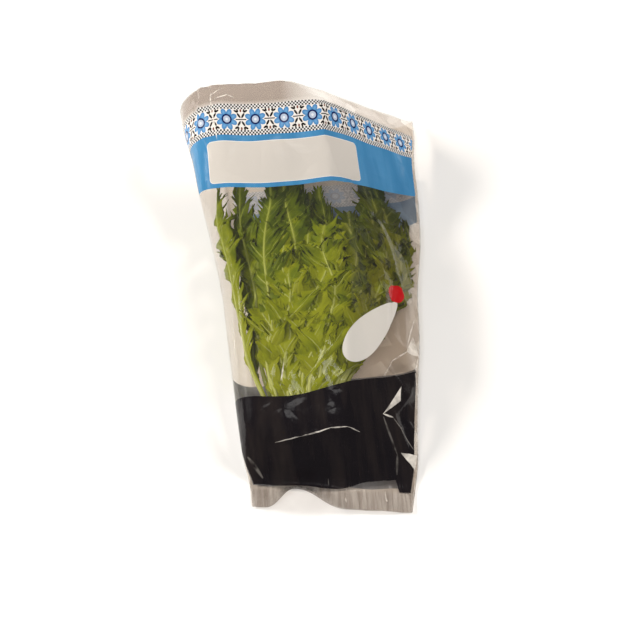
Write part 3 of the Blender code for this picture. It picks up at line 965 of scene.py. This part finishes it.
def ornament(add, u, v):
    """A traditional flower border: eight-petalled flowers, a twig on each side between them and a
    chequered strip along both edges."""
    low, high = ORNAMENT
    y = add(SUBTRACT, v, (low + high) / 2)
    cell = add(FRACT, add(DIVIDE, add(ADD, u, FLOWER_SHIFT), FLOWER_PITCH))
    x = add(MULTIPLY, add(SUBTRACT, cell, 0.5), FLOWER_PITCH)
    radius = add(SQRT, squares(add, x, y))

    sector = add(MODULO, add(ARCTAN2, y, x), 2 * math.pi / PETALS)
    sector = add(SUBTRACT, sector, math.pi / PETALS)
    petal_x = add(SUBTRACT, add(MULTIPLY, radius, add(COSINE, sector)), PETAL_AT)
    petal_x = add(DIVIDE, petal_x, PETAL_SIZE[0])
    petal_y = add(DIVIDE, add(MULTIPLY, radius, add(SINE, sector)), PETAL_SIZE[1])
    petal_gap = add(SQRT, squares(add, petal_x, petal_y))
    petal_deep = add(SUBTRACT, 1.0, add(MINIMUM, petal_gap, 1.0))

    side = add(SUBTRACT, FLOWER_PITCH / 2, add(ABSOLUTE, x))
    height = add(ABSOLUTE, y)
    twig = add(MULTIPLY, add(BELOW, height, STEM[0]), add(BELOW, side, STEM[1]))
    for oval in TWIG_LEAVES:
        twig = add(MAXIMUM, twig, ellipse(add, side, height, *oval))
    colour = add(BLEND, twig, "#EFE9E2", "#241E1C")
    colour = add(BLEND, ellipse(add, side, height, *BUD), colour, "#7A4638")
    petal_colour = add(BLEND, petal_deep, "#3E7FB8", "#74AAD8")
    colour = add(BLEND, add(BELOW, petal_gap, 1.0), colour, petal_colour)
    colour = add(BLEND, add(BELOW, radius, FLOWER_EYE), colour, "#B9C6DA")
    colour = add(BLEND, add(BELOW, radius, FLOWER_PIP), colour, "#E4E8EE")
    colour = add(BLEND, between(add, radius, *FLOWER_RING), colour, "#18265A")

    column = add(FLOOR, add(DIVIDE, add(ADD, u, CHECK_SHIFT), CHECK))
    row = add(FLOOR, add(DIVIDE, add(SUBTRACT, v, low), CHECK))
    dark = add(COMPARE, add(MODULO, column, 2.0), add(MODULO, row, 2.0), 0.1)
    check = add(BLEND, dark, "#EDEBE8", "#1E1A1A")
    at_edge = add(ABOVE, height, (high - low) / 2 - CHECK * CHECK_ROWS)
    return add(BLEND, at_edge, colour, check)


def film_print(add, u, v, is_back, fold):
    """The ink's colour, and 1 where the film is printed."""
    front = add(SUBTRACT, 1.0, is_back)
    height = add(ADD, v, add(MULTIPLY, is_back, BACK_DROP))
    # Painted shade and sheen: soft streaks that make the blue and black ink lighter and darker where the
    # film hangs.
    ink_shade_streaks = add(JOIN, add(DIVIDE, u, INK_SHADE_STREAKS[0]), add(DIVIDE, v, INK_SHADE_STREAKS[1]))
    ink_shade_streaks = add(NOISE, Vector=ink_shade_streaks, Scale=1.0, Detail=3.0, Roughness=0.6)

    border = between(add, height, *ORNAMENT)
    blue_low = add(ADD, BLUE_LOW, add(MULTIPLY, is_back, BACK_BLUE_CUT))
    blue = between(add, height, blue_low, ORNAMENT[0])
    blue_ink = add(BLEND, add(RAMP, ink_shade_streaks, 0.4, 0.75), "#4185B5", "#5396C5")
    colour = add(BLEND, blue, ornament(add, u, height), blue_ink)
    rim = [side + wider for side, wider in zip(LABEL, (-LABEL_RIM, LABEL_RIM) * 2)]
    rim = add(MULTIPLY, front, rounded_box(add, u, height, rim, LABEL_CORNER + LABEL_RIM))
    label = add(MULTIPLY, front, rounded_box(add, u, height, LABEL, LABEL_CORNER))
    colour = add(BLEND, rim, colour, "#F2EDE6")
    colour = add(BLEND, label, colour, "#D6CFC6")

    rise = add(MULTIPLY, add(MAXIMUM, add(ADD, u, BAND_RISE_FROM), 0.0), BAND_RISE)
    band_top = add(ADD, BAND_TOP, add(MULTIPLY, rise, front))
    band_top = add(ADD, band_top, add(MULTIPLY, is_back, BACK_BAND_HIGHER))
    wobble = add(MULTIPLY, add(SINE, add(DIVIDE, u, BAND_WAVE[0])), BAND_WAVE[1])
    sag = add(MULTIPLY, add(RAMP, u, *BAND_SAG[:2]), BAND_SAG[2])
    lift = add(MULTIPLY, add(RAMP, u, *BAND_LIFT[:2]), add(RAMP, u, *BAND_LIFT_END))
    bent = add(ADD, sag, add(MULTIPLY, lift, BAND_LIFT[2]))
    band_low = add(ADD, add(ADD, BAND_LOW, wobble), add(MULTIPLY, front, bent))
    black = between(add, v, band_low, band_top)
    black_ink = add(BLEND, add(RAMP, ink_shade_streaks, 0.45, 0.75), "#171317", "#2D2624")
    colour = add(BLEND, black, colour, black_ink)

    badge = add(MULTIPLY, front, ellipse(add, u, v, *BADGE))
    dot = add(MULTIPLY, front, ellipse(add, u, v, *DOT_OVAL))
    colour = add(BLEND, badge, colour, "#E4DED6")
    colour = add(BLEND, dot, colour, "#C81419")
    # The back panel's print is mixed toward white: partly the milky look of ink seen through the film,
    # partly painted light that lifts the shade it lies in.
    back_pale_and_lit = add(MULTIPLY, is_back, add(ADD, 0.35, add(MULTIPLY, border, 0.35)))
    colour = add(BLEND, back_pale_and_lit, colour, "#F6F7FB")

    back_end = add(MULTIPLY, is_back, add(BELOW, u, BACK_PRINT_END))
    inked = add(MULTIPLY, add(MAXIMUM, border, blue), add(SUBTRACT, 1.0, back_end))
    inked = add(MAXIMUM, inked, add(MAXIMUM, black, add(MAXIMUM, badge, dot)))
    return colour, add(MULTIPLY, inked, add(ABOVE, fold, BARE_EDGE))


def film_painted_highlights(add, spot, place, fold, front, glints):
    """1 where a highlight is painted on the film: on sharp folds, on faces turned to the light and on the
    pleats of the hem; and paler along the side folds. All of it is broken up in spots 8 mm across."""
    highlight_breakup = add(NOISE, Vector=place, Scale=per_metre(8.33), Detail=2.0)
    lines = 0.0
    for line in PAINTED_GLINT_LINES:
        lines = add(MAXIMUM, painted_glint_line(add, spot, line), lines)
    # Painted highlight lines, broken up in spots.
    marks = add(MULTIPLY, lines, add(RAMP, highlight_breakup, 0.34, 0.56))
    shine = add(ADD, 0.25, add(MULTIPLY, add(RAMP, highlight_breakup, 0.3, 0.7), 0.7))
    for corners in PAINTED_GLINT_FACES:
        face = add(MULTIPLY, painted_glint_face(add, spot, corners), shine)
        marks = add(MAXIMUM, face, marks)
    glints = add(MULTIPLY, glints, add(RAMP, highlight_breakup, 0.45, 0.6))
    marks = add(MAXIMUM, marks, add(MULTIPLY, glints, 0.85))
    marks = add(MULTIPLY, marks, front)
    side_fold_pale = add(MULTIPLY, add(RAMP, fold, *SIDE_FOLD_PALE), add(RAMP, highlight_breakup, 0.35, 0.65))
    return add(MAXIMUM, marks, add(MULTIPLY, side_fold_pale, 0.5))


def film_tint_and_painted_shade(add, u, v, place, front, pleats):
    """What the clear film takes from the light, partly painted shade: least on the left; more on the right
    side as painted shade, with painted reflections on facets 17 mm across between its creases; most at
    the doubled lip as painted shade; and streaky in the hem."""
    # Painted shade: the film's tint is darker on the right side.
    right = add(MULTIPLY, front, add(RAMP, u, *RIGHT_U))
    tint = add(BLEND, right, "#FAF6F1", "#DCD3CB")
    # Painted reflections: lighter facets 17 mm across, further right.
    facets = ("ShaderNodeTexVoronoi", {"feature": "SMOOTH_F1"})
    facets = add(facets, Vector=place, Scale=per_metre(16.67), Smoothness=0.12)
    facet = add(RAMP, add(PARTS, facets.outputs["Color"]), 0.45, 0.95)
    far_right = add(MULTIPLY, front, add(RAMP, u, *FAR_RIGHT_U))
    tint = add(BLEND, add(MULTIPLY, facet, far_right), tint, "#F7F3EE")
    # Painted shade: the lip's tint is much darker.
    lip = add(MULTIPLY, add(RAMP, v, *LIP_V), add(RAMP, u, *LIP_U))
    tint = add(BLEND, add(MULTIPLY, front, lip), tint, "#AFA298")
    streaks = add(RAMP, pleats, 0.42, 0.62)
    hem_tint = add(BLEND, streaks, "#ECE9E6", "#D9D4D0")
    return add(BLEND, add(RAMP, v, *HEM_V), tint, hem_tint)


def film_material():
    """Cast polypropylene film, clear and glossy, printed on its outer face with opaque ink: sharp
    highlights along the creases, from its gloss and painted on some folds, a faint warm haze where two
    layers lie over each other, and painted shade in its tint."""
    material, add = new_material("cast polypropylene film, printed")
    film = add(PARTS, add(("ShaderNodeUVMap", {"uv_map": "film"}))).outputs
    across = add(MULTIPLY, film["X"], MAP)
    v = add(MULTIPLY, film["Y"], MAP)
    is_back = add(ABOVE, across, BACK_FROM)
    front = add(SUBTRACT, 1.0, is_back)
    shift = add(ADD, FRONT_SHIFT, add(MULTIPLY, is_back, BACK_SHIFT - FRONT_SHIFT))
    u = add(SUBTRACT, across, shift)
    fold = add((ATTRIBUTE, {"attribute_name": "fold"})).outputs["Fac"]
    place = add(COORDINATES).outputs["Object"]

    # Soft crumples 18 mm and 26 mm across, and fine pleats in the hem.
    crinkle = add(NOISE, Vector=place, Scale=per_metre(18.18), Detail=3.0, Roughness=0.55)
    cells = ("ShaderNodeTexVoronoi", {"feature": "DISTANCE_TO_EDGE"})
    cells = add(cells, Vector=place, Scale=per_metre(26.32))
    cell_edge = add(MINIMUM, add(MULTIPLY, cells, 6.0), 1.0)
    relief = add(ADD, crinkle, add(MULTIPLY, cell_edge, 0.35))
    pleats = add(JOIN, add(DIVIDE, u, PLEAT[0]), add(DIVIDE, v, PLEAT[1]))
    pleats = add(NOISE, Vector=pleats, Scale=1.0, Detail=2.0, Roughness=0.6)
    near_hem = add(MULTIPLY, add(RAMP, v, *PLEATS_V), add(RAMP, u, *PLEATS_U))
    relief = add(ADD, relief, add(MULTIPLY, add(MULTIPLY, pleats, near_hem), 2.2))
    bump = add(BUMP, Strength=0.5, Distance=1.2 * MM, Height=relief)

    tint = film_tint_and_painted_shade(add, u, v, place, front, pleats)
    clear = add("ShaderNodeBsdfTransparent", Color=tint)
    haze = add("ShaderNodeBsdfDiffuse", Color="#F3ECE4", Normal=bump)
    hazy = add(LAYER, 0.01, clear, haze)
    gloss = add("ShaderNodeBsdfAnisotropic", Color="#FFFFFF", Roughness=0.09, Normal=bump)
    facing = add("ShaderNodeLayerWeight", Blend=0.5, Normal=bump).outputs["Facing"]
    grazing = add(MULTIPLY, add(POWER, facing, 5.0), GRAZING_MIRROR)
    skin = add(LAYER, add(ADD, STRAIGHT_MIRROR, grazing), hazy, gloss)

    colour, inked = film_print(add, u, v, is_back, fold)
    ink = add(BODY, Base_Color=colour, Roughness=0.14, IOR=1.45, Normal=bump)
    through = add("ShaderNodeBsdfTranslucent", Color=colour)
    printed = add(LAYER, inked, skin, add(LAYER, 0.22, ink, through))

    # Painted highlights: glints on the hem's pleats and on the folds and faces in the tables above, drawn
    # in the pale body below.
    glints = add(MULTIPLY, add(RAMP, pleats, 0.64, 0.7), near_hem)
    marks = film_painted_highlights(add, add(JOIN, u, v), place, fold, front, glints)
    pale = add(BODY, Base_Color="#EFE7DB", Roughness=0.25)
    add(OUTPUT, add(LAYER, marks, printed, pale))
    return material


def film_inside():
    """The same clear film's inner face. It only passes light on, so that one sheet isn't counted twice."""
    material, add = new_material("cast polypropylene film, inner face")
    add(OUTPUT, add("ShaderNodeBsdfTransparent", (1.0, 1.0, 1.0, 1.0)))
    return material


def leaf_material():
    """Fresh endive blade, thin and slightly waxy: yellow-green, deeper green at the teeth and far up,
    pale at the rib, with fine side veins, clouds 11 mm across and light that shows through."""
    material, add = new_material("fresh endive blade")
    place = add((ATTRIBUTE, {"attribute_name": "leaf_place"})).outputs["Vector"]
    side, along, tone = add(PARTS, place).outputs
    edge = add((ATTRIBUTE, {"attribute_name": "leaf_rim"})).outputs["Vector"]
    rim, vein_place, _ = add(PARTS, edge).outputs
    cloud = add(COORDINATES).outputs["Object"]
    cloud = add(NOISE, Vector=cloud, Scale=per_metre(11.11), Detail=4.0)
    deep = add(ADD, add(DIVIDE, along, LEAF_DEEPENS), add(MULTIPLY, tone, 0.8))
    deep = add(ADD, deep, add(MULTIPLY, rim, 0.12))
    deep = add(ADD, deep, add(MULTIPLY, add(SUBTRACT, cloud, 0.5), 0.7))
    green = add("ShaderNodeValToRGB", add(ADD, deep, 0.06))
    marks = green.color_ramp.elements
    marks[0].position, marks[0].color = 0.0, linear("#9BA02F")
    marks[1].position, marks[1].color = 1.0, linear("#485A04")
    for where, code in ((0.25, "#9CA31C"), (0.5, "#939D06"), (0.75, "#6E7F04")):
        marks.new(where).color = linear(code)

    off_vein = add(ABSOLUTE, add(SUBTRACT, add(FRACT, vein_place), 0.5))
    vein = add(SUBTRACT, 1.0, add(MINIMUM, add(MULTIPLY, off_vein, 10.0), 1.0))
    vein = add(MULTIPLY, vein, add(SUBTRACT, 1.0, rim))
    off_rib = add(DIVIDE, add(ABSOLUTE, side), RIB_BLUSH)
    rib = add(SUBTRACT, 1.0, add(MINIMUM, off_rib, 1.0))
    pale = add(MINIMUM, add(ADD, add(MULTIPLY, vein, 0.6), rib), 1.0)
    colour = add(BLEND, add(MULTIPLY, pale, 0.6), green, "#B8C250")
    crinkle = add(ADD, add(MULTIPLY, vein, 0.6), cloud)
    bump = add(BUMP, Strength=0.5, Distance=0.8 * MM, Height=crinkle)
    body = add(BODY, Base_Color=colour, Roughness=0.42, Specular_IOR_Level=0.3, Normal=bump)
    lit = add(BLEND, 0.35, colour, "#C4CC14")
    glow = add("ShaderNodeBsdfTranslucent", Color=lit, Normal=bump)
    add(OUTPUT, add(LAYER, 0.28, body, glow))
    return material


def rib_material():
    """Endive rib and leaf stalk, juicy and smooth: pale yellow-green at the base, deeper further up,
    with a grain 4 mm long."""
    material, add = new_material("fresh endive rib")
    place = add((ATTRIBUTE, {"attribute_name": "leaf_place"})).outputs["Vector"]
    along = add(PARTS, place).outputs["Y"]
    grain = add(COORDINATES).outputs["Object"]
    grain = add(NOISE, Vector=grain, Scale=per_metre(4.167), Detail=2.0)
    share = add(MINIMUM, add(DIVIDE, along, RIB_FADE), 1.0)
    share = add(ADD, share, add(MULTIPLY, add(SUBTRACT, grain, 0.5), 0.3))
    colour = add(BLEND, share, "#B2B86C", "#96A23A")
    bump = add(BUMP, Strength=0.3, Distance=0.4 * MM, Height=grain)
    add(OUTPUT, add(BODY, Base_Color=colour, Roughness=0.35, IOR=1.42, Normal=bump))
    return material


def stump_material():
    """Cut endive stump, moist and fibrous: cream with a tan blush in spots 6 mm across."""
    material, add = new_material("cut endive stump")
    fibre = add(COORDINATES).outputs["Object"]
    fibre = add(NOISE, Vector=fibre, Scale=per_metre(6.25), Detail=5.0)
    colour = add(BLEND, add(MULTIPLY, fibre, 0.9), "#E6DDBE", "#BFA774")
    bump = add(BUMP, Strength=0.5, Distance=0.6 * MM, Height=fibre)
    add(OUTPUT, add(BODY, Base_Color=colour, Roughness=0.5, IOR=1.4, Normal=bump))
    return material


def floor_material():
    """Plain matt pale table top, painted board: even and almost white, with a faint mottle 170 mm wide."""
    material, add = new_material("matt painted board")
    mottle = add(COORDINATES).outputs["Object"]
    mottle = add(NOISE, Vector=mottle, Scale=per_metre(166.67), Detail=2.0)
    colour = add(BLEND, mottle, "#F4F2EF", "#FAF8F5")
    add(OUTPUT, add(BODY, Base_Color=colour, Roughness=0.8))
    return material


def add_floor():
    """A plain floor, six metres across."""
    mesh = bpy.data.meshes.new("floor")
    corners = [(-FLOOR_HALF, -FLOOR_HALF, 0), (FLOOR_HALF, -FLOOR_HALF, 0)]
    corners += [(FLOOR_HALF, FLOOR_HALF, 0), (-FLOOR_HALF, FLOOR_HALF, 0)]
    mesh.from_pydata(corners, [], [(0, 1, 2, 3)])
    floor = link(bpy.data.objects.new("floor", mesh))
    mesh.materials.append(floor_material())


def add_camera():
    """The photograph's view: 55 degrees down, turned a little so that the sleeve leans to the left."""
    down, roll, away = math.radians(55), math.radians(-5), 0.9
    back = Vector((0, -math.cos(down), math.sin(down)))
    right = Vector((1, 0, 0))
    right = math.cos(roll) * right + math.sin(roll) * back.cross(right)
    target = Vector((0.003, -0.029, 0.02))
    data = bpy.data.cameras.new("camera")
    data.sensor_width = 36.0
    data.lens = 63.28
    camera = link(bpy.data.objects.new("camera", data))
    turn = Matrix((right, back.cross(right), back)).transposed().to_4x4()
    turn.translation = target + away * back
    camera.matrix_world = turn
    bpy.context.scene.camera = camera


def add_area(name, place, size, power, tint, glints=True, lights=True):
    """A soft rectangular light aimed at the part. Without glints it isn't seen in glossy faces, and
    without lights it is seen only there."""
    data = bpy.data.lights.new(name, "AREA")
    data.shape = "RECTANGLE"
    data.size, data.size_y = size
    data.energy = power
    data.color = tint
    light = link(bpy.data.objects.new(name, data))
    light.location = place
    light.rotation_euler = (-Vector(place)).to_track_quat("-Z", "Y").to_euler()
    light.visible_glossy = glints
    light.visible_diffuse = lights
    light.visible_transmission = lights


def add_lights():
    """A soft key from the left, weaker light from the right and the front, three faint lights that
    only shine in the film, and a pale surround."""
    add_area("key", (-1.5, 0.5, 0.85), (0.7, 0.2), 31, (1.0, 0.96, 0.91), glints=False)
    add_area("shoulder sheen", (-1.5, 0.5, 0.85), (0.7, 0.2), 9, (1.0, 0.97, 0.93), lights=False)
    add_area("crown sheen", (-0.13, -0.11, 1.57), (0.22, 0.25), 0.5, (1.0, 0.98, 0.96), lights=False)
    add_area("fill", (1.3, 0.5, 1.25), (0.5, 0.5), 19, (1.0, 0.97, 0.94), glints=False)
    add_area("front", (-0.3, -1.0, 1.4), (0.8, 0.8), 14, (0.99, 0.99, 1.0), glints=False)
    add_area("right sheen", (1.35, 1.0, 0.7), (0.9, 0.5), 0.4, (1.0, 0.97, 0.93), lights=False)
    world = bpy.data.worlds.new("surround")
    world.use_nodes = True
    surround = world.node_tree.nodes["Background"].inputs
    surround["Color"].default_value = (1.0, 0.98, 0.95, 1.0)
    surround["Strength"].default_value = 0.17
    bpy.context.scene.world = world


def main():
    """Builds the whole scene round the frame."""
    add_camera()
    add_lights()
    add_floor()

    draw = random.Random(LEAF_SEED)
    leaves = [Leaf(index, draw) for index in range(LEAVES + SHOOTS)]
    blade = leaf_material()
    groups = (
        ("heart", leaves[:11]),
        ("middle", leaves[11:22]),
        ("outer", leaves[22:LEAVES]),
        ("curly_inner", leaves[LEAVES:LEAVES + SHOOTS // 2]),
        ("curly_outer", leaves[LEAVES + SHOOTS // 2:]),
    )
    head = [build_blades(f"head_leaves_{name}", group) for name, group in groups]
    for piece in head:
        piece.data.materials.append(blade)
    head.append(build_ribs(leaves, rib_material()))
    stump = build_stump()
    stump.data.materials.append(stump_material())
    head.append(stump)
    for piece in head:
        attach(piece, "root")
        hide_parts("endive_head")

    film = build_film()
    film.data.materials.append(film_material())
    film.data.materials.append(film_inside())
    wall = film.modifiers.new("film thickness", "SOLIDIFY")
    wall.thickness = FILM * MM
    wall.offset = -1
    wall.material_offset = 1
    wall.use_rim = True
    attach(film, "root")
    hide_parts("film_sleeve")


main()
bpy.context.scene.view_settings.view_transform = "Standard"
